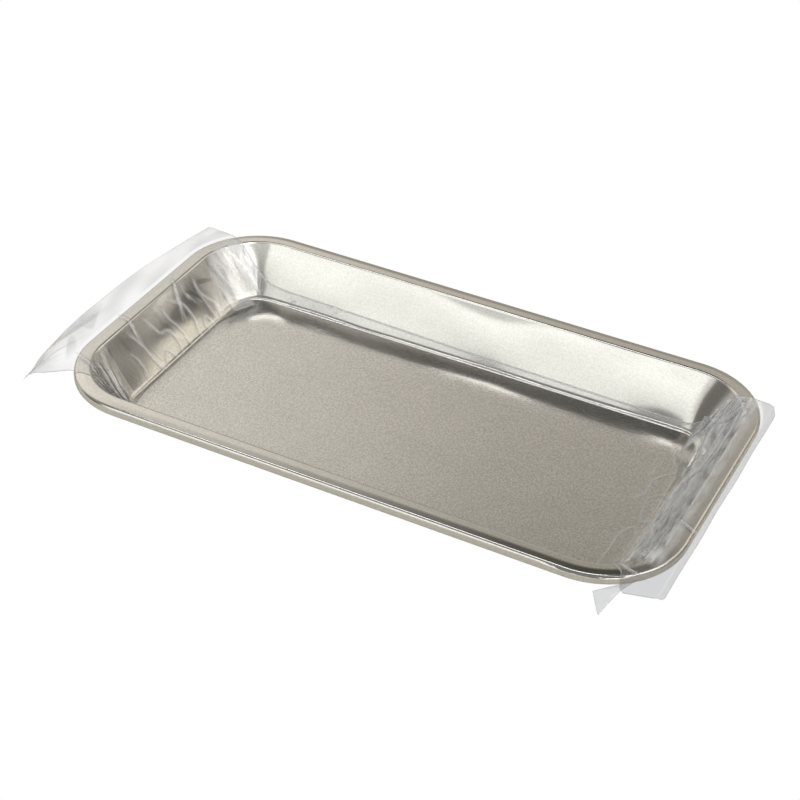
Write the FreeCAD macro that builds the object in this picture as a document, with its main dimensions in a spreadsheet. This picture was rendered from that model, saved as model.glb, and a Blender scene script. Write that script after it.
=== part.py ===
import FreeCAD, Part
import math
import os

import Sketcher

# A stainless instrument tray with a clear liner film laid in it.
#
# The tray is one drawn sheet: a flat floor, flared walls that meet in conical corners, a rim with an outer
# band that falls away a little, and a turned-down skirt whose lower edge is turned in.
# The liner is one rectangular sheet of clear film. It lies on the floor, climbs part of the way up the long
# walls, runs up both end walls, crosses the rim there and hangs past it.
#
# Frame: +X along the tray, +Y across it towards the liner's lower edge, +Z up. The origin is the centre of
# the underside of the floor. All sizes are in millimetres.

doc = FreeCAD.newDocument("instrument_tray")

# ---------------------------------------------------------------- driving dimensions

DIMENSIONS = [
    ("tray_length", 226.5, "overall length of the rim"),
    ("tray_width", 124, "overall width of the rim"),
    ("tray_height", 18.8, "underside of the floor to the top of the rim"),
    ("corner_radius", 29.5, "outside corner of the rim, in plan"),
    ("steel_gauge", 0.6, "thickness of the drawn sheet"),
    ("rim_width", 6, "outer edge of the rim to the top of the wall"),
    ("wall_run", 12.6, "how far the wall flares outward from its foot to its top"),
    ("foot_bend", 3, "inside radius where the floor turns up into the wall"),
    ("rim_bend", 0.8, "inside radius of the bends at both edges of the rim and at the skirt's lower edge"),
    ("band_width", 3, "width of the rim's falling outer band"),
    ("band_fall", 0.45, "how far that band falls"),
    ("band_bend", 6, "radius of the soft crease between the rim's two bands"),
    ("skirt_drop", 4.2, "top of the rim to the bottom of the skirt"),
    ("skirt_return", 1.5, "how far the skirt's lower edge is turned in"),
    ("film_gauge", 0.3, "thickness of the liner's solid"),
    ("film_gap", 0.3, "clearance between the liner and the steel"),
    ("far_inset", 14.5, "side of the rim to the liner's edge on the +Y long wall, inward"),
    ("near_inset", 9, "side of the rim to the liner's edge on the -Y long wall, inward"),
    ("flap_root", 14, "rim's end to where the liner's flap begins beside the corner, inward"),
    ("flap_bend", 1.5, "radius at which the liner's ends turn down past the rim"),
    ("right_reach", 3, "liner past the rim at the +X end, outward"),
    ("right_fall", 7.5, "liner past the rim at the +X end, downward"),
    ("right_far_inset", 14.5, "side of the rim to the liner's corner at +X and +Y, inward"),
    ("right_near_inset", 0, "side of the rim to the liner's corner at +X and -Y, inward"),
    ("left_level", 4, "liner past the rim at the -X end before it starts to droop"),
    ("left_reach", 17, "liner past the rim at the -X end, outward"),
    ("left_fall", 9, "liner past the rim at the -X end, downward"),
    ("left_far_inset", 10, "side of the rim to the liner's corner at -X and +Y, inward"),
    ("left_near_inset", 1, "side of the rim to the liner's corner at -X and -Y, inward"),
]

sheet = doc.addObject("Spreadsheet::Sheet", "dims")
for row, (alias, size, meaning) in enumerate(DIMENSIONS, start=1):
    sheet.set(f"A{row}", alias)
    sheet.set(f"B{row}", str(size))
    sheet.set(f"C{row}", meaning)
    sheet.setAlias(f"B{row}", alias)
doc.recompute()

# Distances that several pieces share, as formulas of the sheet.
END = "dims.tray_length / 2"
SIDE = "dims.tray_width / 2"
FOOT_INSET = "(dims.rim_width + dims.wall_run)"
FLOOR_INSET = "(dims.rim_width + dims.wall_run + dims.foot_bend)"
WALL_ANGLE = "atan((dims.tray_height - dims.steel_gauge) / dims.wall_run)"
SHEET_BEND = "(dims.rim_bend + dims.steel_gauge)"
FILM_SHIFT = f"(dims.film_gap * tan({WALL_ANGLE} / 2))"
FILM_LEVEL = "(dims.tray_height + dims.film_gap)"


def millimetres(formula):
    """What a formula of the sheet comes to."""
    number = sheet.evalExpression(formula)
    return float(getattr(number, "Value", number))


def bind(thing, **formulas):
    """Ties an object's properties to formulas of the sheet, and returns the object."""
    for name, formula in formulas.items():
        thing.setExpression(name, formula)
    return thing


# ---------------------------------------------------------------- sketches

ROOT_POINT = (-1, 1)
FIRST, LAST, CENTRE = 1, 2, 3
UPRIGHT = FreeCAD.Rotation(FreeCAD.Vector(1, 0, 0), 90)


def add_sketch(name, upright=False):
    """An empty sketch on the ground, or standing on the XZ plane with its own Y as the tray's Z."""
    sketch = doc.addObject("Sketcher::SketchObject", name)
    if upright:
        sketch.Placement = FreeCAD.Placement(FreeCAD.Vector(), UPRIGHT)
    return sketch


def add_size(sketch, kind, *ends, formula):
    """A dimension of a sketch that follows the sheet."""
    number = sketch.addConstraint(Sketcher.Constraint(kind, *ends, millimetres(formula)))
    sketch.setExpression(f"Constraints[{number}]", formula)


def hold_point(sketch, edge, end, across, up):
    """Holds a point of a sketch at a place given by two formulas."""
    add_size(sketch, "DistanceX", *ROOT_POINT, edge, end, formula=across)
    add_size(sketch, "DistanceY", *ROOT_POINT, edge, end, formula=up)


def bend_at(before, corner, after, radius):
    """Where the bend at a corner starts, is at its middle, and ends."""
    back = (before - corner).normalize()
    ahead = (after - corner).normalize()
    half_angle = back.getAngle(ahead) / 2
    reach = radius / math.tan(half_angle)
    middle_line = (back + ahead).normalize()
    crown = corner + middle_line * (radius / math.sin(half_angle) - radius)
    return corner + back * reach, crown, corner + ahead * reach


def sketch_run(name, stops):
    """The side view of a sheet: straight runs from stop to stop with a bend at each one between the ends.

    A stop is (across, up) at the two ends and (across, up, bend radius) between them, all formulas."""
    sketch = add_sketch(name, upright=True)
    corners = [FreeCAD.Vector(millimetres(stop[0]), millimetres(stop[1]), 0) for stop in stops]
    bends = [
        bend_at(before, corner, after, millimetres(stop[2]))
        for before, corner, after, stop in zip(corners, corners[1:], corners[2:], stops[1:])
    ]
    starts = [corners[0]] + [bend[2] for bend in bends]
    ends = [bend[0] for bend in bends] + [corners[-1]]
    runs = [sketch.addGeometry(Part.LineSegment(*pair)) for pair in zip(starts, ends)]
    arcs = [sketch.addGeometry(Part.Arc(*bend)) for bend in bends]
    hold_point(sketch, runs[0], FIRST, *stops[0])
    hold_point(sketch, runs[-1], LAST, *stops[-1])
    for place, run, arc, following, stop, bend in zip(
        corners[1:], runs, arcs, runs[1:], stops[1:], bends
    ):
        enters = FIRST if (sketch.getPoint(arc, FIRST) - bend[0]).Length < 1e-6 else LAST
        leaves = LAST if enters == FIRST else FIRST
        corner = sketch.addGeometry(Part.Point(place), True)
        hold_point(sketch, corner, FIRST, *stop[:2])
        sketch.addConstraint(Sketcher.Constraint("PointOnObject", corner, FIRST, run))
        sketch.addConstraint(Sketcher.Constraint("PointOnObject", corner, FIRST, following))
        sketch.addConstraint(Sketcher.Constraint("Tangent", run, LAST, arc, enters))
        sketch.addConstraint(Sketcher.Constraint("Tangent", arc, leaves, following, FIRST))
        add_size(sketch, "Radius", arc, formula=stop[2])
    return sketch


def sketch_outline(name, inset):
    """The tray's plan outline, a rounded rectangle, moved inward by the inset."""
    sketch = add_sketch(name)
    half_long = f"({END} - {inset})"
    half_wide = f"({SIDE} - {inset})"
    radius = f"(dims.corner_radius - {inset})"
    long, wide, bend = millimetres(half_long), millimetres(half_wide), millimetres(radius)
    corners = [(1, 1), (-1, 1), (-1, -1), (1, -1)]
    arcs = []
    for turn, (right, back) in enumerate(corners):
        centre = FreeCAD.Vector(right * (long - bend), back * (wide - bend), 0)
        circle = Part.Circle(centre, FreeCAD.Vector(0, 0, 1), bend)
        start = turn * math.pi / 2
        arc = sketch.addGeometry(Part.ArcOfCircle(circle, start, start + math.pi / 2))
        arcs.append(arc)
        hold_x = f"{right} * ({half_long} - {radius})"
        hold_y = f"{back} * ({half_wide} - {radius})"
        hold_point(sketch, arc, CENTRE, hold_x, hold_y)
        add_size(sketch, "Radius", arc, formula=radius)
    for arc, following in zip(arcs, arcs[1:] + arcs[:1]):
        line = sketch.addGeometry(
            Part.LineSegment(sketch.getPoint(arc, LAST), sketch.getPoint(following, FIRST))
        )
        sketch.addConstraint(Sketcher.Constraint("Tangent", arc, LAST, line, FIRST))
        sketch.addConstraint(Sketcher.Constraint("Tangent", line, LAST, following, FIRST))
    return sketch


# ---------------------------------------------------------------- solids from sketches


def thicken(name, run, gauge):
    """The side view of a sheet as a closed strip, from the drawn run to one gauge off it."""
    strip = doc.addObject("Part::Offset2D", name)
    strip.Source = run
    strip.Mode = "Skin"
    strip.Join = "Arc"
    strip.Fill = True
    return bind(strip, Value=gauge)


def sweep_round(name, strip, outline):
    """The strip carried once round the outline."""
    ring = doc.addObject("Part::Sweep", name)
    ring.Sections = [strip]
    ring.Spine = (outline, [f"Edge{number}" for number in range(1, 9)])
    ring.Solid = True
    ring.Transition = "Right corner"
    return ring


def raise_up(name, face, thickness, height):
    """A flat sketch made into a plate or a block that starts at the height given."""
    block = doc.addObject("Part::Extrusion", name)
    block.Base = face
    block.DirMode = "Custom"
    block.Dir = FreeCAD.Vector(0, 0, 1)
    block.Solid = True
    bind(block, LengthFwd=thickness)
    block.setExpression(".Placement.Base.z", height)
    return block


def stretch_across(name, strip, near, far):
    """An upright strip drawn out across the tray, from its -Y side to its +Y side."""
    flap = doc.addObject("Part::Extrusion", name)
    flap.Base = strip
    flap.DirMode = "Custom"
    flap.Dir = FreeCAD.Vector(0, 1, 0)
    flap.Solid = True
    return bind(flap, LengthFwd=far, LengthRev=near)


def trim_box(name, corner, size):
    """A block to keep or to cut by, from its low corner and its size."""
    block = doc.addObject("Part::Box", name)
    for axis, formula in zip("xyz", corner):
        block.setExpression(f".Placement.Base.{axis}", formula)
    for side, formula in zip(("Length", "Width", "Height"), size):
        block.setExpression(side, formula)
    return block


def join(name, *pieces):
    """Several solids made into one."""
    whole = doc.addObject("Part::MultiFuse", name)
    whole.Shapes = list(pieces)
    whole.Refine = True
    return whole


def combine(kind, name, base, tool):
    """Part::Cut or Part::Common of two solids."""
    result = doc.addObject(kind, name)
    result.Base = base
    result.Tool = tool
    result.Refine = True
    return result


# ---------------------------------------------------------------- sub-parts


def make_tray_pan(floor_outline):
    """The drawn pan. Its sheet is drawn on the side that faces up and out, and thickened to the other."""
    run = sketch_run(
        "pan_run",
        [
            (f"{END} - {FLOOR_INSET}", "dims.steel_gauge"),
            (f"{END} - {FOOT_INSET}", "dims.steel_gauge", "dims.foot_bend"),
            (f"{END} - dims.rim_width", "dims.tray_height", SHEET_BEND),
            (f"{END} - dims.band_width", "dims.tray_height", "dims.band_bend"),
            (END, "dims.tray_height - dims.band_fall", SHEET_BEND),
            (END, "dims.tray_height - dims.skirt_drop", SHEET_BEND),
            (f"{END} - dims.skirt_return", "dims.tray_height - dims.skirt_drop"),
        ],
    )
    strip = thicken("pan_strip", run, "-dims.steel_gauge")
    ring = sweep_round("pan_ring", strip, floor_outline)
    floor = raise_up("pan_floor", floor_outline, "dims.steel_gauge", "0")
    return join("tray_pan", ring, floor)


def make_liner_film(floor_outline):
    """The film, a gap above the steel: a sheet laid in the pan and trimmed, and a flap past each end."""
    floor_top = "(dims.steel_gauge + dims.film_gap)"
    run = sketch_run(
        "film_run",
        [
            (f"{END} - {FLOOR_INSET}", floor_top),
            (f"{END} - {FOOT_INSET} - {FILM_SHIFT}", floor_top, "(dims.foot_bend - dims.film_gap)"),
            (
                f"{END} - dims.rim_width - {FILM_SHIFT}",
                FILM_LEVEL,
                f"({SHEET_BEND} + dims.film_gap)",
            ),
            (f"{END} - dims.rim_width / 4", FILM_LEVEL),
        ],
    )
    strip = thicken("film_strip", run, "dims.film_gauge")
    ring = sweep_round("film_ring", strip, floor_outline)
    floor = raise_up("film_floor", floor_outline, "dims.film_gauge", floor_top)
    laid = join("film_laid", ring, floor)
    kept = trim_box(
        "film_kept",
        (f"-{END}", f"dims.near_inset - {SIDE}", "0"),
        (
            "dims.tray_length",
            "dims.tray_width - dims.near_inset - dims.far_inset",
            "dims.tray_height * 2",
        ),
    )
    trimmed = combine("Part::Common", "film_trimmed", laid, kept)

    inside_rim = raise_up(
        "rim_block",
        sketch_outline("rim_outline", "(dims.rim_width / 2)"),
        "dims.tray_height * 2",
        "0",
    )
    right = end_flap(
        "right",
        [
            (f"{END} - dims.flap_root", FILM_LEVEL),
            (f"{END} + dims.right_reach", FILM_LEVEL, "dims.flap_bend"),
            (f"{END} + dims.right_reach", f"{FILM_LEVEL} - dims.right_fall"),
        ],
        "dims.film_gauge",
        inside_rim,
    )
    left = end_flap(
        "left",
        [
            (f"-({END} - dims.flap_root)", FILM_LEVEL),
            (f"-({END} + dims.left_level)", FILM_LEVEL, "dims.flap_bend"),
            (f"-({END} + dims.left_reach)", f"{FILM_LEVEL} - dims.left_fall"),
        ],
        "-dims.film_gauge",
        inside_rim,
    )
    return join("liner_film", trimmed, right, left)


def end_flap(side, stops, gauge, inside_rim):
    """One end of the film past the rim, cut to the rim's outline so that it meets the laid part."""
    strip = thicken(f"{side}_strip", sketch_run(f"{side}_run", stops), gauge)
    near = f"{SIDE} - dims.{side}_near_inset"
    far = f"{SIDE} - dims.{side}_far_inset"
    flap = stretch_across(f"{side}_sheet", strip, near, far)
    return combine("Part::Cut", f"{side}_flap", flap, inside_rim)


# ---------------------------------------------------------------- checks and export


def check_document(parts):
    """Stops if any object is in error, or a sub-part isn't one sound closed solid."""
    for thing in doc.Objects:
        if {"Invalid", "Error"} & set(thing.State):
            raise RuntimeError(f"{thing.Name} is in error: {thing.State}")
    for thing in doc.findObjects("Sketcher::SketchObject"):
        if thing.solve() != 0:
            raise RuntimeError(f"{thing.Name} isn't solved")
    for part in parts:
        shape = part.Shape
        if shape.isNull() or not shape.isValid() or len(shape.Solids) != 1 or shape.Volume <= 0:
            raise RuntimeError(f"{part.Label} isn't one sound solid")


def main():
    """Builds both sub-parts and writes each one to its file."""
    floor_outline = sketch_outline("floor_outline", FLOOR_INSET)
    parts = [make_tray_pan(floor_outline), make_liner_film(floor_outline)]
    doc.recompute()
    check_document(parts)
    os.makedirs("parts", exist_ok=True)
    for part in parts:
        part.Shape.exportStep(f"parts/{part.Label}.step")


main()
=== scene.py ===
import math

import bpy
import numpy as np
from mathutils import Matrix, Vector


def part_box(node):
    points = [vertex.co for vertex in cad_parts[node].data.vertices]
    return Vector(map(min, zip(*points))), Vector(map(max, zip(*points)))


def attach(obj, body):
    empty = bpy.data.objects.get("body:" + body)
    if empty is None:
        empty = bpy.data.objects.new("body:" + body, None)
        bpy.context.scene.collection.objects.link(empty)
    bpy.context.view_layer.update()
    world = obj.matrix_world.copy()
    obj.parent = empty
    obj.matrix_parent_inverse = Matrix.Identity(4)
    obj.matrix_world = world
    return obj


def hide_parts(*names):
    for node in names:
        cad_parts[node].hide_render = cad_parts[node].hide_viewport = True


# The looks of a stainless instrument tray with a clear liner film laid in it.
# The pan keeps its CAD mesh and gets a rolled stainless finish. The film's CAD stand-in is replaced by a
# thin crumpled sheet that is laid on the pan by the same sizes. Lengths in the code are in millimetres, and
# are multiplied by MM where Blender takes them.

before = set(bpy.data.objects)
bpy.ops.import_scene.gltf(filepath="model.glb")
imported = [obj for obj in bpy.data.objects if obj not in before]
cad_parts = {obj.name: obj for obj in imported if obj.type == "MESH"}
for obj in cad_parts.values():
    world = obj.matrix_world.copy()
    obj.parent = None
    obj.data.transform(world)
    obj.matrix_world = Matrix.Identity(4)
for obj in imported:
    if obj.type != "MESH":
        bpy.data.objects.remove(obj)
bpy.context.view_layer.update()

MM = 0.001

# ---------------------------------------------------------------- camera, floor and light

CAMERA_AZIMUTH = math.radians(27.04)
CAMERA_ELEVATION = math.radians(36.75)
CAMERA_ROLL = math.radians(1.28)
CAMERA_DISTANCE = 649.9 * MM
CAMERA_AIM = Vector((-10.75, 11.2, 0.6)) * MM
CAMERA_LENS = 81.5


def direction(azimuth, elevation):
    """The unit vector towards a compass direction, with -Y at azimuth 0 and +X at a quarter turn."""
    level = math.cos(elevation)
    return Vector((math.sin(azimuth) * level, -math.cos(azimuth) * level, math.sin(elevation)))


def add_camera():
    """The camera on the photograph's line of sight, turned a little about it."""
    back = direction(CAMERA_AZIMUTH, CAMERA_ELEVATION)
    level = Vector((math.cos(CAMERA_AZIMUTH), math.sin(CAMERA_AZIMUTH), 0))
    up = back.cross(level)
    right = level * math.cos(CAMERA_ROLL) + up * math.sin(CAMERA_ROLL)
    turned_up = back.cross(right)
    data = bpy.data.cameras.new("photo_camera")
    data.lens = CAMERA_LENS
    camera = bpy.data.objects.new("photo_camera", data)
    bpy.context.scene.collection.objects.link(camera)
    facing = Matrix((right, turned_up, back)).transposed().to_4x4()
    camera.matrix_world = Matrix.Translation(CAMERA_AIM + back * CAMERA_DISTANCE) @ facing
    bpy.context.scene.camera = camera


def add_softbox(name, azimuth, elevation, distance, width, height, power, colour=(1, 1, 1)):
    """A rectangular light that looks at the tray from a direction in degrees, with sizes in metres."""
    towards = direction(math.radians(azimuth), math.radians(elevation))
    data = bpy.data.lights.new(name, "AREA")
    data.shape = "RECTANGLE"
    data.size = width
    data.size_y = height
    data.energy = power
    data.color = colour
    light = bpy.data.objects.new(name, data)
    bpy.context.scene.collection.objects.link(light)
    light.location = towards * distance
    light.rotation_euler = towards.to_track_quat("Z", "Y").to_euler()


def add_ramp(nodes, links, value, stops):
    """A colour ramp driven by a value. Each stop is (place, colour)."""
    ramp = nodes.new("ShaderNodeValToRGB")
    points = ramp.color_ramp.elements
    while len(points) < len(stops):
        points.new(1.0)
    for point, (place, colour) in zip(points, stops):
        point.position = place
        point.color = (*colour, 1)
    links.new(value, ramp.inputs["Fac"])
    return ramp.outputs["Color"]


def mix_colours(nodes, links, share, first, second):
    """Two colours mixed by a share. A colour or the share is a socket or a plain value."""
    mix = nodes.new("ShaderNodeMix")
    mix.data_type = "RGBA"
    colour_inputs = [socket for socket in mix.inputs if socket.type == "RGBA"]
    for socket, value in zip((mix.inputs[0], *colour_inputs), (share, first, second)):
        if isinstance(value, bpy.types.NodeSocket):
            links.new(value, socket)
        else:
            socket.default_value = value
    return next(out for out in mix.outputs if out.type == "RGBA")


def mix_shaders(nodes, links, share, first, second):
    """Two shaders mixed by a share."""
    mix = nodes.new("ShaderNodeMixShader")
    for socket, value in zip(mix.inputs, (share, first, second)):
        links.new(value, socket)
    return mix.outputs[0]


def add_range(nodes, links, value, low, high, to_low=0.0, to_high=1.0):
    """A value stretched smoothly from one range to another."""
    node = nodes.new("ShaderNodeMapRange")
    node.interpolation_type = "SMOOTHSTEP"
    node.inputs["From Min"].default_value = low
    node.inputs["From Max"].default_value = high
    node.inputs["To Min"].default_value = to_low
    node.inputs["To Max"].default_value = to_high
    links.new(value, node.inputs["Value"])
    return node.outputs[0]


def calc(nodes, links, operation, *values):
    """One step of arithmetic on sockets or plain numbers."""
    node = nodes.new("ShaderNodeMath")
    node.operation = operation
    for socket, value in zip(node.inputs, values):
        if isinstance(value, bpy.types.NodeSocket):
            links.new(value, socket)
        else:
            socket.default_value = value
    return node.outputs[0]


def grey(level, tint=(1, 1, 1)):
    """A colour of the brightness given with a slight tint."""
    return tuple(level * part for part in tint)


WARM = (1.0, 0.94, 0.835)
COOL = (0.985, 1.0, 0.965)

# How bright the surroundings are by the sine of the elevation: behind the tray, and on the camera's side.
BEHIND = [(0.0, 0.45), (0.16, 0.4), (0.3, 0.36), (0.53, 0.62), (0.62, 0.5), (0.7, 0.34)]
BEHIND += [(0.82, 0.07), (1, 0.1)]
AHEAD = [(0.0, 0.8), (0.3, 0.8), (0.6, 0.5), (0.8, 0.2), (1, 0.3)]
# Where one gives way to the other, from -1 on the camera's side to 1 behind the tray.
BLEND_FROM, BLEND_TO = -0.35, 0.15

# Bright and dark patches of the surroundings: direction, cosines where each starts and is full, and colour.
PATCHES = [
    ((-0.75, 0.43, 0.5), (0.82, 0.99), (1.04, 1.0, 0.92)),
    ((0.544, 0.626, 0.559), (0.925, 0.98), (1.25, 1.17, 1.0)),
    ((0.655, -0.475, 0.583), (0.91, 0.98), (3.0, 2.95, 2.85)),
    ((0.848, 0.0, 0.53), (0.92, 0.98), (2.6, 2.55, 2.45)),
    ((-0.82, -0.49, 0.3), (0.9, 0.975), (0.2, 0.19, 0.18)),
    ((0.761, 0.595, 0.259), (0.985, 0.997), (0.05, 0.045, 0.04)),
]


def add_world():
    """Studio surroundings: pale in front, a warm grey behind, dark above it, and some patches."""
    world = bpy.data.worlds.new("studio")
    world.use_nodes = True
    nodes, links = world.node_tree.nodes, world.node_tree.links
    towards = nodes.new("ShaderNodeTexCoord").outputs["Generated"]
    parts = nodes.new("ShaderNodeSeparateXYZ")
    links.new(towards, parts.inputs[0])
    height = parts.outputs["Z"]
    back_colour = add_ramp(nodes, links, height, [(place, grey(level, WARM)) for place, level in BEHIND])
    front_colour = add_ramp(nodes, links, height, [(place, grey(level, COOL)) for place, level in AHEAD])
    side = add_range(nodes, links, parts.outputs["Y"], BLEND_FROM, BLEND_TO)
    around = mix_colours(nodes, links, side, front_colour, back_colour)
    for toward, limits, colour in PATCHES:
        nearness = nodes.new("ShaderNodeVectorMath")
        nearness.operation = "DOT_PRODUCT"
        nearness.inputs[1].default_value = toward
        links.new(towards, nearness.inputs[0])
        patch = add_range(nodes, links, nearness.outputs["Value"], *limits)
        around = mix_colours(nodes, links, patch, around, (*colour, 1))
    seen = nodes.new("ShaderNodeLightPath").outputs["Is Camera Ray"]
    links.new(mix_colours(nodes, links, seen, around, (1, 1, 1, 1)), nodes["Background"].inputs["Color"])
    bpy.context.scene.world = world


# Half the length and width of the floor and of its opening, and the floor's height.
FLOOR_HALF = (2000.0, 2000.0)
FLOOR_OPENING_HALF = (91.0, 40.0)
FLOOR_LEVEL = -0.1
FLOOR_COLOUR = (0.78, 0.76, 0.7, 1)


def add_floor():
    """The plain pale surface under the tray: seen as pure white, mirrored as pale beige, clear from below.

    It has an opening under the tray's flat underside, which the tray covers, so the underside isn't black.
    """
    corners = []
    for half_x, half_y in (FLOOR_HALF, FLOOR_OPENING_HALF):
        for side_x, side_y in ((-1, -1), (1, -1), (1, 1), (-1, 1)):
            corners.append((side_x * half_x * MM, side_y * half_y * MM, FLOOR_LEVEL * MM))
    mesh = bpy.data.meshes.new("floor")
    mesh.from_pydata(corners, [], [(k, (k + 1) % 4, 4 + (k + 1) % 4, 4 + k) for k in range(4)])
    floor = bpy.data.objects.new("floor", mesh)
    bpy.context.scene.collection.objects.link(floor)
    material = bpy.data.materials.new("floor_white")
    material.use_nodes = True
    nodes, links = material.node_tree.nodes, material.node_tree.links
    shader = nodes["Principled BSDF"]
    shader.inputs["Base Color"].default_value = FLOOR_COLOUR
    shader.inputs["Roughness"].default_value = 0.8
    white = nodes.new("ShaderNodeEmission").outputs[0]
    clear = nodes.new("ShaderNodeBsdfTransparent").outputs[0]
    seen = nodes.new("ShaderNodeLightPath").outputs["Is Camera Ray"]
    from_below = nodes.new("ShaderNodeNewGeometry").outputs["Backfacing"]
    cut_out = mix_shaders(nodes, links, seen, shader.outputs[0], white)
    one_sided = mix_shaders(nodes, links, from_below, cut_out, clear)
    links.new(one_sided, nodes["Material Output"].inputs["Surface"])
    mesh.materials.append(material)


# ---------------------------------------------------------------- the pan's shape, as the film meets it

PAN_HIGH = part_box("tray_pan")[1] / MM
HALF_LENGTH = PAN_HIGH.x
HALF_WIDTH = PAN_HIGH.y
RIM_TOP = PAN_HIGH.z
RIM_CORNER = 29.5
RIM_WIDTH = 6.0
BAND_WIDTH = 3.0
BAND_FALL = 0.45
WALL_RUN = 12.6
STEEL_GAUGE = 0.6
FOOT_ROUNDING = 0.9
FILM_CLEARANCE = 0.12

FOOT_INSET = RIM_WIDTH + WALL_RUN
WALL_SLOPE = (RIM_TOP - STEEL_GAUGE) / WALL_RUN
CORNER_X = HALF_LENGTH - RIM_CORNER
CORNER_Y = HALF_WIDTH - RIM_CORNER


def rim_inset(x, y):
    """How far inside the rim's outer edge a place in plan is. Outside the tray it is negative."""
    past_x = np.abs(x) - CORNER_X
    past_y = np.abs(y) - CORNER_Y
    beyond = np.hypot(np.maximum(past_x, 0), np.maximum(past_y, 0))
    within = np.minimum(np.maximum(past_x, past_y), 0)
    return RIM_CORNER - beyond - within


def pan_top(x, y):
    """Height of the pan's upper surface, with the bend at the foot of the wall rounded."""
    inset = rim_inset(x, y)
    up_wall = (FOOT_INSET - inset) * WALL_SLOPE
    rounded = (up_wall + np.sqrt(up_wall**2 + FOOT_ROUNDING**2)) / 2
    wall = STEEL_GAUGE + rounded
    rim = np.interp(inset, (0, BAND_WIDTH), (RIM_TOP - BAND_FALL, RIM_TOP))
    return np.minimum(wall, rim)


def rim_inner_x(y):
    """How far along the tray the rim's inner edge is, for a place across it."""
    radius = RIM_CORNER - RIM_WIDTH
    past_y = np.clip(np.abs(y) - CORNER_Y, 0, radius - 1)
    return CORNER_X + np.sqrt(radius**2 - past_y**2)


# ---------------------------------------------------------------- the film

FILM_THICKNESS = 0.05

# Steps between the film's points: across the sheet, on its flat middle, where its far edge is creased, on
# the end walls and on the flaps.
STEP_ACROSS = 0.62
STEP_MIDDLE = 2.6
STEP_CREASED = 1.3
STEP_WALL = 0.42
STEP_RIGHT_FLAP = 0.55
STEP_LEFT_FLAP = 0.6
ROWS = int((HALF_WIDTH * 2 - 16) / STEP_ACROSS)

# Edges of the laid sheet in plan: (along the tray, across it), from the -X end to the +X end.
FAR_EDGE = [(-123, 55), (-112, 53.5), (-105, 51.8), (-99, 49.3), (-88, 47), (-80, 46.6), (0, 45.7)]
FAR_EDGE += [(88, 45.2), (95, 45.9), (98, 48.2), (102, 49.2), (107, 49.6), (112, 49.2), (119, 46.5)]
NEAR_EDGE = [(-131, -54), (-112, -52.5), (-105, -50.5), (-92, -50), (85, -50), (96, -52.3), (100, -55)]
NEAR_EDGE += [(102, -62), (104, -63.8), (112.5, -61.6), (114.5, -60.6), (116.4, -58.6), (117.3, -56)]

# Where the film leaves the floor on its way to the rim: (across the tray, distance from its middle).
LEAVES_FLOOR_RIGHT = [(-52, 85), (-33, 89), (-24, 91), (-1, 92.5), (16, 92), (23, 90.5), (34, 84), (48, 86)]
LEAVES_FLOOR_LEFT = [(-52, 88), (-37, 92), (-25, 94), (20, 93.8), (30, 91.5), (38, 87), (50, 88)]

# The -X end of the sheet: (across the tray, distance from its middle).
LEFT_END = [(-53, 127.3), (-34, 129.4), (-25, 129.6), (-8, 127.5), (22, 125), (53, 119.5)]
# How far the -X flap has drooped at a distance of LEFT_DROOP_AT outside the rim: (across the tray, fall).
LEFT_DROOP = [(-53, 7.5), (-35, 6.6), (-15, 4.6), (10, 3.4), (53, 3.0)]
LEFT_DROOP_AT = 16.0
LEFT_DROOP_CURVE = 1.6

# The +X flap is folded down just past the rim.
RIGHT_FOLD = HALF_LENGTH + 0.8
RIGHT_FOLD_DIP = math.radians(68)
RIGHT_FALL = 3.2

# The folded-back corner of the sheet: where it meets the flap, its lower end, its tip and its other root.
FOLDED_CORNER = [(102.2, -63.3, 17.2), (99.4, -71, 13.8), (94.2, -63.2, 15), (105.9, -55.8, 18.9)]
FOLDED_STEPS = 22
FOLDED_BULGE = 0.9
# One value of white haze and one of painted shade over the whole folded corner.
FOLDED_HAZE_AND_HIGHLIGHT = 0.25
FOLDED_PAINTED_SHADE = 0.8

# Where the film is crushed at the +X end, along and across the sheet: (from, to, soft margin).
CRUSHED_ALONG = (96.5, 105, 2.5)
CRUSHED_ACROSS = (-46, 60, 4)
# Where it clings to the -X wall, along the sheet.
CLINGS_ALONG = (-104, -96, 2)

# Single creases over the rims: (along, across, heading). Broad folds of the -X flap, with their heights.
RIM_CREASES = [(109, -24.5, -28), (103.5, -53.5, -18), (-105, 11, 145), (-107.5, -16, 170), (-106, -44, 160)]
LEFT_FOLDS = [(-122, -44, 65, 1.6), (-119, -36, 60, -1.2), (-121, -26, 72, 1.0), (-116, -48, 40, 1.0)]

# Long thin streaks of the crushed +X end, and the fan of folds in the corner at +X and +Y. These are painted
# on the film only, as light lines (painted highlight) and dark lines (painted shade), with no shape of their
# own.
STREAKS = {
    "region": ((95, 107), (-46, 40)),
    "heading": 90,
    "spread": 9,
    "length": (7, 20),
    "width": (0.5, 0.8),
    "height": (0.6, 1.3),
}
FAR_RIGHT_FAN = {"apex": (90, 30), "headings": (33, 88), "reach": 24}

# The small curl of film on the floor near the corner at +X and -Y, painted only as a light ring of painted
# highlight: its middle, radius and line width.
CURL = (86.5, -44)
CURL_RADIUS = 3.2
CURL_LINE = 0.4

# A crest's white haze, partly painted highlight, and a valley's painted shade are its bend over the first
# number, less the second.
CREST_BEND, CREST_UNSEEN = 0.32, 0.15
VALLEY_BEND, VALLEY_UNSEEN = 0.36, 0.1
# How much painted shade lies over the +X flap past the rim.
RIGHT_FLAP_PAINTED_SHADE = 0.97

CRUMPLE_SEED, HAZE_AND_HIGHLIGHT_SEED, PAINTED_SHADE_SEED = 11, 5, 3


def along(points, where):
    """A value read off a short list of (place, value) pairs, with straight runs between them."""
    places, values = zip(*points)
    return np.interp(where, places, values)


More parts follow.
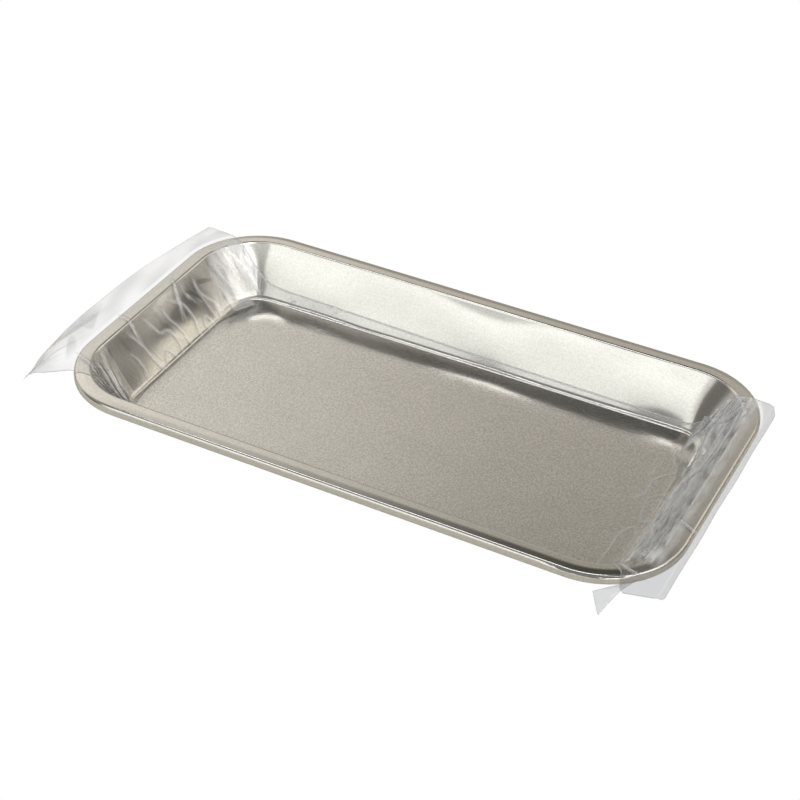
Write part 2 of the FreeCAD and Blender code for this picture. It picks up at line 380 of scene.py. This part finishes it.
def stations_along():
    """Places along the sheet, from the -X end to the +X end, closest where the film is crushed."""
    left_reach = max(reach for _, reach in LEFT_END)
    left_wall = -np.arange(78.4, HALF_LENGTH, STEP_WALL)[::-1]
    left_flap = -np.arange(HALF_LENGTH, left_reach, STEP_LEFT_FLAP)[::-1]
    creased = np.arange(-78, -46, STEP_CREASED)
    middle = np.arange(-46, 77, STEP_MIDDLE)
    right_wall = np.arange(78, HALF_LENGTH, STEP_WALL)
    right_flap = np.arange(HALF_LENGTH, RIGHT_FOLD + RIGHT_FALL, STEP_RIGHT_FLAP)
    return np.concatenate([left_flap, left_wall, creased, middle, right_wall, right_flap])


def lay_film():
    """The film laid smooth: grids of x, y and z, and of the places along the sheet."""
    share, station = np.meshgrid(np.linspace(0, 1, ROWS), stations_along(), indexing="ij")
    near = along(NEAR_EDGE, station)
    y = near + (along(FAR_EDGE, station) - near) * share

    left_reach = max(reach for _, reach in LEFT_END)
    past_left = np.maximum(-station - HALF_LENGTH, 0)
    left_share = (along(LEFT_END, y) - HALF_LENGTH) / (left_reach - HALF_LENGTH)
    x = np.where(station < -HALF_LENGTH, -HALF_LENGTH - past_left * left_share, station)
    past_fold = np.maximum(station - RIGHT_FOLD, 0)
    x = np.where(past_fold > 0, RIGHT_FOLD + past_fold * math.cos(RIGHT_FOLD_DIP), x)

    lifts_at = np.where(x > 0, along(LEAVES_FLOOR_RIGHT, y), along(LEAVES_FLOOR_LEFT, y))
    climb = np.clip((np.abs(x) - lifts_at) / (rim_inner_x(y) - lifts_at), 0, 1)
    taut = STEEL_GAUGE + (RIM_TOP - STEEL_GAUGE) * climb
    laid = np.maximum(pan_top(x, y), taut)
    outside = np.maximum(-rim_inset(x, y), 0)
    droop = along(LEFT_DROOP, y) * (outside / LEFT_DROOP_AT) ** LEFT_DROOP_CURVE
    laid = np.where(outside > 0, RIM_TOP - np.where(x < 0, droop, 0), laid)
    z = laid + FILM_CLEARANCE - past_fold * math.sin(RIGHT_FOLD_DIP)
    return x, y, z, station


def surface_normals(x, y, z):
    """Unit normals of a grid of points."""
    points = np.stack([x, y, z], axis=-1)
    across = np.gradient(points, axis=0)
    lengthwise = np.gradient(points, axis=1)
    normal = np.cross(lengthwise, across)
    return normal / np.linalg.norm(normal, axis=-1, keepdims=True)


def band(value, low, high, soft):
    """1 between low and high, falling to 0 over a soft margin outside them."""
    rise = np.clip((value - low) / soft + 1, 0, 1)
    fall = np.clip((high - value) / soft + 1, 0, 1)
    return rise * fall


def turned_axes(s, y, centre, heading):
    """Distances forward and aside from a centre, for a heading in degrees."""
    turn = math.radians(heading)
    ds, dy = s - centre[0], y - centre[1]
    forward = ds * math.cos(turn) + dy * math.sin(turn)
    aside = -ds * math.sin(turn) + dy * math.cos(turn)
    return forward, aside


def crease(s, y, centre, heading, length, width, height, skew=1.0):
    """One sharp fold in the sheet: a ridge with straight sides that fades out at both ends."""
    forward, aside = turned_axes(s, y, centre, heading)
    slope_width = np.where(aside > 0, width, width * skew)
    ridge = np.maximum(1 - np.abs(aside) / slope_width, 0)
    fade = np.maximum(1 - (forward / length) ** 2, 0)
    return height * ridge * fade


def scatter_creases(s, y, rng, count, region, heading, spread, length, width, height):
    """Many creases in a region ((low s, high s), (low y, high y)), with sizes from (low, high) pairs."""
    total = np.zeros_like(s)
    for _ in range(count):
        centre = (rng.uniform(*region[0]), rng.uniform(*region[1]))
        turned = heading + rng.uniform(-spread, spread)
        sign = rng.choice((-1, 1), p=(0.35, 0.65))
        this_length = rng.uniform(*length)
        this_width = rng.uniform(*width)
        this_height = sign * rng.uniform(*height)
        skew = rng.uniform(0.4, 2.2)
        total += crease(s, y, centre, turned, this_length, this_width, this_height, skew)
    return total


def soft_noise(s, y, rng, scale, count=9):
    """Smooth random waves with about the scale given, mostly from -1 to 1."""
    total = np.zeros_like(s)
    for _ in range(count):
        turn = rng.uniform(0, math.tau)
        wave = math.tau / (scale * rng.uniform(0.7, 1.6))
        total += np.sin((s * math.cos(turn) + y * math.sin(turn)) * wave + rng.uniform(0, math.tau))
    return total / count**0.5


def pleat(phase):
    """A wave with straight sides and sharp crests, from -1 to 1, once for each whole step of the phase."""
    return 4 * np.abs(phase - np.floor(phase) - 0.5) - 1


def facets(s, y, rng, heading, spread, periods, height):
    """Crushed film: sharp waves that all run about one way, each fading in and out along the sheet."""
    total = np.zeros_like(s)
    for period in periods:
        _, aside = turned_axes(s, y, (0, 0), heading + rng.uniform(-spread, spread))
        bent = aside + 0.35 * period * soft_noise(s, y, rng, 4 * period, 4)
        strength = np.clip(0.55 + 0.6 * soft_noise(s, y, rng, 3 * period, 4), 0, 1.3)
        total += period * strength * pleat(bent / period + rng.uniform(0, 1))
    return total * height / sum(periods)


def gather(s, y, rng, apex, headings, reach, height, counts):
    """Pleats that fan out from an apex between two headings, and grow towards their reach."""
    ds, dy = s - apex[0], y - apex[1]
    away = np.hypot(ds, dy)
    middle = (headings[0] + headings[1]) / 2
    half = (headings[1] - headings[0]) / 2
    turned = np.degrees(np.arctan2(dy, ds)) - middle
    turned = (turned + 180) % 360 - 180
    mask = np.clip((half - np.abs(turned)) / 10, 0, 1) * np.clip((reach - away) / (0.25 * reach), 0, 1)
    total = np.zeros_like(s)
    for count in counts:
        phase = count * turned / (2 * half) + 0.3 * soft_noise(s, y, rng, 22, 4) + rng.uniform(0, 1)
        strength = np.clip(0.5 + 0.6 * soft_noise(s, y, rng, 12, 4), 0, 1.3)
        total += strength * pleat(phase) / count
    return height * mask * np.minimum(away / (0.6 * reach), 1) * total * counts[0]


def rays(s, y, rng, apex, headings, reach, count):
    """Thin lines that fan out from an apex, each with its own length and strength up to 1."""
    line_width = 0.42
    total = np.zeros_like(s)
    for _ in range(count):
        forward, aside = turned_axes(s, y, apex, rng.uniform(*headings))
        drawn = band(forward, reach * rng.uniform(0, 0.4), reach * rng.uniform(0.6, 1.1), 2)
        total = np.maximum(total, rng.uniform(0.4, 1) * drawn * np.exp(-((aside / line_width) ** 2)))
    return total


def contour(s, y, rng, scale, stretch):
    """Winding outlines, 1 on the line and 0 away from it, longer across the sheet by the stretch given."""
    line_width = 0.9
    level = soft_noise(s, y / stretch, rng, scale)
    slope = np.hypot(*np.gradient(level)) + 1e-6
    return np.exp(-((level / slope / line_width) ** 2))


def crush_right(s, y, rng):
    """The crushed film between the floor and the rim at the +X end."""
    crushed = band(s, *CRUSHED_ALONG) * band(y, *CRUSHED_ACROSS)
    long_across = y * 0.25
    off = crushed * facets(
        s, long_across, rng, heading=90, spread=5, periods=(6, 4.2, 3.1, 2.3, 1.7), height=2.1
    )
    off += crushed * scatter_creases(
        s,
        y,
        rng,
        count=46,
        region=((94, 106), (-50, 38)),
        heading=90,
        spread=12,
        length=(9, 26),
        width=(0.6, 1.7),
        height=(0.25, 0.9),
    )
    on_wall = np.clip((rim_inner_x(y) - s) / 3, 0, 1) * np.clip((s - 90) / 3, 0, 1)
    off += on_wall * gather(
        s, y, rng, apex=(90.5, 31), headings=(30, 92), reach=27, height=1.9, counts=(6, 10, 15)
    )
    off += on_wall * band(y, *CRUSHED_ACROSS) * gather(
        s, y, rng, apex=(88, -38), headings=(-70, 10), reach=24, height=0.7, counts=(4, 7, 12)
    )
    return off


def crush_left(s, y, rng):
    """The film clinging to the wall at the -X end, with folds at both corners."""
    off = band(s, *CLINGS_ALONG) * scatter_creases(
        s,
        y,
        rng,
        count=9,
        region=((-107, -94), (-34, 36)),
        heading=35,
        spread=50,
        length=(3, 9),
        width=(0.5, 1.2),
        height=(0.08, 0.28),
    )
    inside = np.clip((rim_inner_x(y) + s) / 3, 0, 1)
    off += inside * gather(
        s, y, rng, apex=(-89, -40), headings=(150, 232), reach=27, height=0.9, counts=(3, 5, 8)
    )
    off += inside * gather(
        s, y, rng, apex=(-87, 38), headings=(95, 168), reach=25, height=0.5, counts=(6, 10, 17)
    )
    return off


def crease_far_edge(s, y, rng):
    """Small creases where the sheet's far edge climbs the +Y wall, near the -X end."""
    at_edge = band(s, -84, -46, 5) * band(y, 41, 50, 2)
    return at_edge * scatter_creases(
        s,
        y,
        rng,
        count=26,
        region=((-84, -46), (43, 48)),
        heading=10,
        spread=60,
        length=(2, 7),
        width=(0.5, 1.4),
        height=(0.06, 0.2),
    )


def crumple(s, y):
    """How far the film stands off its smooth lie, by place along and across the sheet."""
    rng = np.random.default_rng(CRUMPLE_SEED)
    off = crush_right(s, y, rng) + crush_left(s, y, rng)
    off += crease_far_edge(s, y, rng)
    for crease_s, crease_y, heading in RIM_CREASES:
        off += crease(s, y, (crease_s, crease_y), heading, length=8, width=0.7, height=0.6)
    past_left = -s - HALF_LENGTH
    past_right = s - HALF_LENGTH
    tip = np.clip(past_left / 8, 0, 1) * np.clip((10 - y) / 50, 0, 1)
    for fold_s, fold_y, heading, height in LEFT_FOLDS:
        off += tip * crease(s, y, (fold_s, fold_y), heading, length=26, width=5.5, height=height)
    off += np.clip(past_left / 10, 0, 1) * 0.35 * soft_noise(s * 0.3, y, rng, 40)
    off += np.clip(past_right / 4, 0, 1) * 0.15 * soft_noise(s, y, rng, 26)
    off += 0.012 * (1 + soft_noise(s, y, rng, 13)) * band(s, -80, 84, 4)
    return off


def bending(off):
    """How sharply the sheet is bent, with a sign: above 0 on crests and below 0 in valleys."""
    return -np.gradient(np.gradient(off, axis=0), axis=0) - np.gradient(np.gradient(off, axis=1), axis=1)


def haze_and_highlight_amount(x, y, s, off):
    """Where the film is given white haze: on sharp crests, partly its own haze and partly painted highlight;
    its own haze at the cut edges and over the crushed +X end; painted highlight along the streaks, a painted
    reflection in the far -X corner, light outlines round the patches that cling and a light ring for the
    curl.
    """
    rng = np.random.default_rng(HAZE_AND_HIGHLIGHT_SEED)
    # Sharp crests: partly the film's own haze, partly painted highlight.
    haze_and_highlight = np.clip(bending(off) / CREST_BEND - CREST_UNSEEN, 0, 1)
    # Light outlines drawn round the patches that cling to the walls.
    left = contour(s, y, rng, scale=13, stretch=1.0) * band(s, -104, -95, 2) * band(y, -22, 34, 4)
    right = contour(s, y, rng, scale=9, stretch=3.0) * band(s, 84, 94, 2) * band(y, -36, 18, 5)
    haze_and_highlight = np.maximum(haze_and_highlight, 0.6 * np.maximum(left, right))
    # Painted highlight: light streaks over the crushed +X end and light rays in the corner at +X and +Y.
    streaks = np.clip(np.abs(scatter_creases(s, y, rng, count=34, **STREAKS)), 0, 1)
    streaks = np.maximum(streaks, rays(s, y, rng, count=16, **FAR_RIGHT_FAN))
    haze_and_highlight = np.maximum(haze_and_highlight, 1.5 * streaks * (rim_inset(x, y) > RIM_WIDTH - 1))
    crushed = band(s, 97, 107, 4) * band(y, -44, 60, 5)
    haze_and_highlight = np.maximum(haze_and_highlight, crushed * np.clip(0.65 + 0.4 * soft_noise(s, y / 4, rng, 2.2), 0.2, 1))
    # Painted reflection: a white patch in the far corner at -X.
    painted_corner_reflection = np.clip(1.6 - 1.6 * np.hypot((s + 99) / 10, (y - 42) / 13) ** 2, 0, 1)
    haze_and_highlight = np.maximum(haze_and_highlight, painted_corner_reflection * np.clip(0.8 + 0.4 * soft_noise(y * 1.5, s / 3, rng, 5), 0.2, 1))
    # The curl, drawn only as a light ring of painted highlight.
    ds, dy = s - CURL[0], y - CURL[1]
    curl = np.exp(-(((np.hypot(ds, dy) - CURL_RADIUS) / CURL_LINE) ** 2))
    haze_and_highlight = np.maximum(haze_and_highlight, curl * (ds < dy + 2))
    haze_and_highlight[:1, :] = 1
    haze_and_highlight[-1:, :] = 1
    return haze_and_highlight * np.clip(rim_inset(x, y) + 1.2, 0.25, 1)


def painted_shade_amount(x, y, s, off):
    """Painted shade on the light the film passes: along the valleys of its folds, in dark streaks over the
    crushed +X end, and on the flaps past the rim.
    """
    rng = np.random.default_rng(PAINTED_SHADE_SEED)
    # Painted shade in the valleys of the folds.
    valleys = np.clip(-bending(off) / VALLEY_BEND - VALLEY_UNSEEN, 0, 1)
    # Painted shade: dark streaks over the crushed +X end and dark rays in the corner at +X and +Y.
    streaks = np.abs(scatter_creases(s, y, rng, count=26, **STREAKS))
    streaks = np.maximum(np.clip(streaks, 0, 1), rays(s, y, rng, count=9, **FAR_RIGHT_FAN))
    valleys = np.maximum(valleys, 1.4 * streaks * (rim_inset(x, y) > RIM_WIDTH - 1))
    # Painted shade on the flaps: blotches and fold shading on the -X flap, and nearly full shade over the +X
    # flap.
    left_flap = np.clip(0.3 + 0.34 * soft_noise(s * 1.5 + y * 0.6, y * 0.5, rng, 16), 0, 1)
    tip_fold_shade = np.clip(4 * soft_noise(s + 0.6 * y, 0.4 * y, rng, 11), 0, 1)
    tip_fold_shade *= np.clip((-s - 112) / 6, 0, 1) * np.clip((-8 - y) / 10, 0, 1)
    outside = np.clip(-rim_inset(x, y), 0, 1)
    flaps = outside * np.where(x > 0, RIGHT_FLAP_PAINTED_SHADE, np.maximum(left_flap, tip_fold_shade))
    return np.maximum(valleys, flaps)


def grid_faces(rows, columns, first_point=0):
    """The four-cornered faces of a grid of points."""
    first = first_point + np.arange(rows - 1)[:, None] * columns + np.arange(columns - 1)
    return np.stack([first, first + 1, first + columns + 1, first + columns], axis=-1).reshape(-1, 4)


def folded_corner():
    """The sheet's corner at +X and -Y, folded back on itself: a small bulged patch below the flap."""
    meets_flap, low_end, tip, root = (np.array(place) for place in FOLDED_CORNER)
    steps = np.linspace(0, 1, FOLDED_STEPS)
    u, v = (part[..., None] for part in np.meshgrid(steps, steps, indexing="ij"))
    upper = root + (meets_flap - root) * u
    lower = tip + (low_end - tip) * u
    patch = upper + (lower - upper) * v
    patch[..., 2:] += FOLDED_BULGE * np.sin(math.pi * u) * np.sin(math.pi * (v + 0.25 * u))
    return patch.reshape(-1, 3)


def add_point_values(mesh, name, sheet_values, corner_value):
    """A number at every point: the sheet's own, and one value all over the folded corner."""
    corner_values = np.full(FOLDED_STEPS**2, corner_value)
    attribute = mesh.attributes.new(name, "FLOAT", "POINT")
    attribute.data.foreach_set("value", np.concatenate([sheet_values.ravel(), corner_values]))


def film_mesh():
    """The crumpled sheet and its folded corner as one mesh with no thickness."""
    x, y, z, s = lay_film()
    off = crumple(s, y)
    normal = surface_normals(x, y, z)
    x, y, z = (part + off * normal[..., axis] for axis, part in enumerate((x, y, z)))
    over_pan = rim_inset(x, y) > -0.5
    lowest = pan_top(x, y) + FILM_CLEARANCE * 0.6
    z = np.where(over_pan, np.maximum(z, lowest), z)
    sheet_points = np.stack([x, y, z], axis=-1).reshape(-1, 3)
    points = np.concatenate([sheet_points, folded_corner()]) * MM
    corner_faces = grid_faces(FOLDED_STEPS, FOLDED_STEPS, len(sheet_points))
    faces = np.concatenate([grid_faces(*x.shape), corner_faces])
    mesh = bpy.data.meshes.new("film_sheet")
    mesh.from_pydata(points.tolist(), [], faces.tolist())
    mesh.polygons.foreach_set("use_smooth", [True] * len(mesh.polygons))
    # White haze with painted highlight, and painted shade, at every point of the film.
    add_point_values(mesh, "haze_and_highlight", haze_and_highlight_amount(x, y, s, off), FOLDED_HAZE_AND_HIGHLIGHT)
    add_point_values(mesh, "painted_shade", painted_shade_amount(x, y, s, off), FOLDED_PAINTED_SHADE)
    return mesh


def build_film():
    """The film as one sheet with a real thickness, in place of its CAD stand-in."""
    mesh = film_mesh()
    film = bpy.data.objects.new("film_sheet", mesh)
    bpy.context.scene.collection.objects.link(film)
    shell = film.modifiers.new("thickness", "SOLIDIFY")
    shell.thickness = FILM_THICKNESS * MM
    shell.offset = 0
    mesh.materials.append(make_film_material())
    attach(film, "liner")
    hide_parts("liner_film")


# The film's colours: clear, under full painted shade, and of its white haze, which also makes its painted
# highlight. Then the least haze and how much the haze and painted highlight add, and the least and added
# mirroring.
FILM_CLEAR = (0.99, 0.99, 0.99, 1)
FILM_PAINTED_SHADE = (0.84, 0.845, 0.855, 1)
HAZE_AND_HIGHLIGHT_COLOUR = (0.92, 0.93, 0.95, 1)
HAZE_LEAST, HAZE_AND_HIGHLIGHT_ADDED = 0.025, 0.4
MIRROR_LEAST, MIRROR_ADDED = 0.06, 0.92


def read_attribute(nodes, name):
    """The number that the mesh holds at every point under a name."""
    attribute = nodes.new("ShaderNodeAttribute")
    attribute.attribute_name = name
    return attribute.outputs["Fac"]


def make_film_material():
    """Clear film: nearly all light goes straight through, and more is mirrored at a glancing angle. Painted
    shade darkens the light passing through, and white haze, partly painted highlight, is mixed in.
    """
    material = bpy.data.materials.new("clear_film")
    material.use_nodes = True
    nodes, links = material.node_tree.nodes, material.node_tree.links
    nodes.clear()
    through = nodes.new("ShaderNodeBsdfTransparent")
    # Painted shade on the light passing through.
    passed_with_painted_shade = mix_colours(nodes, links, read_attribute(nodes, "painted_shade"), FILM_CLEAR, FILM_PAINTED_SHADE)
    links.new(passed_with_painted_shade, through.inputs["Color"])
    haze = nodes.new("ShaderNodeBsdfDiffuse")
    haze.inputs["Color"].default_value = HAZE_AND_HIGHLIGHT_COLOUR
    # White haze, partly the film's own and partly painted highlight.
    haze_and_highlight_share = calc(nodes, links, "MULTIPLY_ADD", read_attribute(nodes, "haze_and_highlight"), HAZE_AND_HIGHLIGHT_ADDED, HAZE_LEAST)
    hazed_and_highlighted = mix_shaders(nodes, links, haze_and_highlight_share, through.outputs[0], haze.outputs[0])
    mirror = nodes.new("ShaderNodeBsdfGlossy")
    mirror.inputs["Roughness"].default_value = 0.06
    facing = nodes.new("ShaderNodeLayerWeight")
    facing.inputs["Blend"].default_value = 0.5
    glancing = calc(nodes, links, "POWER", facing.outputs["Facing"], 5.0)
    mirrored = calc(nodes, links, "MULTIPLY_ADD", glancing, MIRROR_ADDED, MIRROR_LEAST)
    output = nodes.new("ShaderNodeOutputMaterial")
    links.new(mix_shaders(nodes, links, mirrored, hazed_and_highlighted, mirror.outputs[0]), output.inputs["Surface"])
    return material


# ---------------------------------------------------------------- materials


def add_noise(nodes, links, position, scale, detail=3.0, roughness=0.6, stretch=None):
    """Noise in the tray's own space, with about scale features to the metre."""
    if stretch:
        mapping = nodes.new("ShaderNodeMapping")
        mapping.inputs["Scale"].default_value = stretch
        links.new(position, mapping.inputs["Vector"])
        position = mapping.outputs["Vector"]
    noise = nodes.new("ShaderNodeTexNoise")
    noise.inputs["Scale"].default_value = scale
    noise.inputs["Detail"].default_value = detail
    noise.inputs["Roughness"].default_value = roughness
    links.new(position, noise.inputs["Vector"])
    return noise.outputs["Fac"]


def remap(nodes, links, value, low, high, from_low=0.3, from_high=0.7):
    """A value stretched in a straight line from one range to another."""
    node = nodes.new("ShaderNodeMapRange")
    node.inputs["From Min"].default_value = from_low
    node.inputs["From Max"].default_value = from_high
    node.inputs["To Min"].default_value = low
    node.inputs["To Max"].default_value = high
    links.new(value, node.inputs["Value"])
    return node.outputs[0]


def add_inset(nodes, links, position):
    """The same distance as rim_inset, for the steel's shader, in millimetres."""
    place = nodes.new("ShaderNodeSeparateXYZ")
    links.new(position, place.inputs[0])
    past = []
    for axis, corner in (("X", CORNER_X), ("Y", CORNER_Y)):
        distance = calc(nodes, links, "ABSOLUTE", place.outputs[axis])
        past.append(calc(nodes, links, "MULTIPLY_ADD", distance, 1 / MM, -corner))
    squares = [calc(nodes, links, "POWER", calc(nodes, links, "MAXIMUM", part, 0.0), 2.0) for part in past]
    beyond = calc(nodes, links, "SQRT", calc(nodes, links, "ADD", *squares))
    within = calc(nodes, links, "MINIMUM", calc(nodes, links, "MAXIMUM", *past), 0.0)
    both = calc(nodes, links, "ADD", beyond, within)
    return calc(nodes, links, "SUBTRACT", RIM_CORNER, both)


# The drawn sheet: the floor rises over this width to this slope at its foot, and the wall is hollow.
FLOOR_RISE_WIDTH = 5.0
FLOOR_RISE_SLOPE = 0.13
WALL_HOLLOW = 0.7
WALL_DENTS = 3.5


def add_drawn_shape(nodes, links, position, inset):
    """How far the drawn sheet is off its plain shape: the floor rises to its foot and the wall is hollow."""
    near_foot = calc(nodes, links, "SUBTRACT", FOOT_INSET + FLOOR_RISE_WIDTH, inset)
    clipped = calc(nodes, links, "MINIMUM", calc(nodes, links, "MAXIMUM", near_foot, 0.0), FLOOR_RISE_WIDTH)
    curve = FLOOR_RISE_SLOPE / 2 / FLOOR_RISE_WIDTH
    rise = calc(nodes, links, "MULTIPLY", calc(nodes, links, "POWER", clipped, 2.0), curve)
    up_wall = remap(nodes, links, inset, 1.0, 0.0, RIM_WIDTH, FOOT_INSET)
    down_wall = calc(nodes, links, "SUBTRACT", 1.0, up_wall)
    arch = calc(nodes, links, "MULTIPLY", up_wall, down_wall)
    hollow = calc(nodes, links, "MULTIPLY", arch, -4 * WALL_HOLLOW)
    dents = calc(nodes, links, "SUBTRACT", add_noise(nodes, links, position, 28, 0), 0.5)
    uneven = calc(nodes, links, "MULTIPLY", calc(nodes, links, "MULTIPLY", hollow, dents), WALL_DENTS)
    return calc(nodes, links, "ADD", calc(nodes, links, "ADD", rise, hollow), uneven)


# The middle of the crimped corner of the rim, in metres.
CRIMPED_AT = (0.091, -0.062, 0.0162)


def add_crimps(nodes, links, position):
    """Small dents in the skirt where the rim was folded round one corner, in millimetres."""
    distance = nodes.new("ShaderNodeVectorMath")
    distance.operation = "DISTANCE"
    distance.inputs[1].default_value = CRIMPED_AT
    links.new(position, distance.inputs[0])
    near = add_range(nodes, links, distance.outputs["Value"], 0.017, 0.007)
    place = nodes.new("ShaderNodeSeparateXYZ")
    links.new(position, place.inputs[0])
    on_skirt = add_range(nodes, links, place.outputs["Z"], (RIM_TOP - 0.6) * MM, (RIM_TOP - 1.4) * MM)
    dents = add_noise(nodes, links, position, 300, 1, 0.5, (0.7, 0.7, 1.2))
    return calc(nodes, links, "MULTIPLY", calc(nodes, links, "MULTIPLY", near, on_skirt), dents)


def add_bump(nodes, links, height, distance, normal=None):
    """A change of the surface's direction from a height field, with the height of 1 given in millimetres."""
    bump = nodes.new("ShaderNodeBump")
    bump.inputs["Strength"].default_value = 1
    bump.inputs["Distance"].default_value = distance * MM
    links.new(height, bump.inputs["Height"])
    if normal:
        links.new(normal, bump.inputs["Normal"])
    return bump.outputs[0]


# Features to the metre in the steel's looks, and its colours.
GRAIN_SCALE, ROLLING_SCALE, SMUDGE_SCALE = 1400, 700, 45
ROLLING_STRETCH = (0.03, 1, 1)
STEEL_DARK, STEEL_LIGHT = (0.61, 0.59, 0.555, 1), (0.795, 0.78, 0.745, 1)
ROLLED_COLOUR, SMUDGED_COLOUR = (0.82, 0.81, 0.79, 1), (0.54, 0.52, 0.48, 1)
# How deep the surface's unevenness looks, in millimetres.
SMUDGE_DEPTH, CRIMP_DEPTH, GRAIN_DEPTH = 0.07, 0.65, 0.0015


def make_steel():
    """Rolled stainless sheet: fine grain, long rolling marks, smudges and the slight curves of drawing."""
    material = bpy.data.materials.new("satin_stainless")
    material.use_nodes = True
    nodes, links = material.node_tree.nodes, material.node_tree.links
    shader = nodes["Principled BSDF"]
    shader.inputs["Metallic"].default_value = 1
    position = nodes.new("ShaderNodeTexCoord").outputs["Object"]
    inset = add_inset(nodes, links, position)

    grain = add_noise(nodes, links, position, GRAIN_SCALE, 2)
    rolling = add_noise(nodes, links, position, ROLLING_SCALE, stretch=ROLLING_STRETCH)
    smudge = add_noise(nodes, links, position, SMUDGE_SCALE, 4)
    polished = add_range(nodes, links, inset, FOOT_INSET - 2, FOOT_INSET + 3, 0.3, 1.0)
    speckle = calc(nodes, links, "MULTIPLY", calc(nodes, links, "SUBTRACT", grain, 0.5), polished)
    speckled = remap(nodes, links, speckle, 0, 1, -0.09, 0.09)
    shade = mix_colours(nodes, links, speckled, STEEL_DARK, STEEL_LIGHT)
    rolled = mix_colours(nodes, links, remap(nodes, links, rolling, 0, 0.16), shade, ROLLED_COLOUR)
    stained = mix_colours(nodes, links, remap(nodes, links, smudge, 0, 0.14), rolled, SMUDGED_COLOUR)
    links.new(stained, shader.inputs["Base Color"])
    links.new(remap(nodes, links, smudge, 0.12, 0.17), shader.inputs["Roughness"])

    normal = add_bump(nodes, links, add_drawn_shape(nodes, links, position, inset), 1.0)
    waves = add_noise(nodes, links, position, SMUDGE_SCALE, 1)
    normal = add_bump(nodes, links, waves, SMUDGE_DEPTH, normal)
    normal = add_bump(nodes, links, add_crimps(nodes, links, position), CRIMP_DEPTH, normal)
    normal = add_bump(nodes, links, grain, GRAIN_DEPTH, normal)
    links.new(normal, shader.inputs["Normal"])
    return material


def finish_pan():
    """The steel finish on every part of the pan's own CAD mesh."""
    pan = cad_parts["tray_pan"]
    steel = make_steel()
    for slot in pan.material_slots:
        slot.material = steel


add_camera()
add_world()
add_floor()
add_softbox("front_left", -24, 31, 1.6, 1.3, 0.9, 2.5, COOL)
add_softbox("overhead", -90, 79, 1.5, 0.26, 1.1, 2.6)
finish_pan()
bpy.context.scene.view_settings.view_transform = "Standard"
build_film()
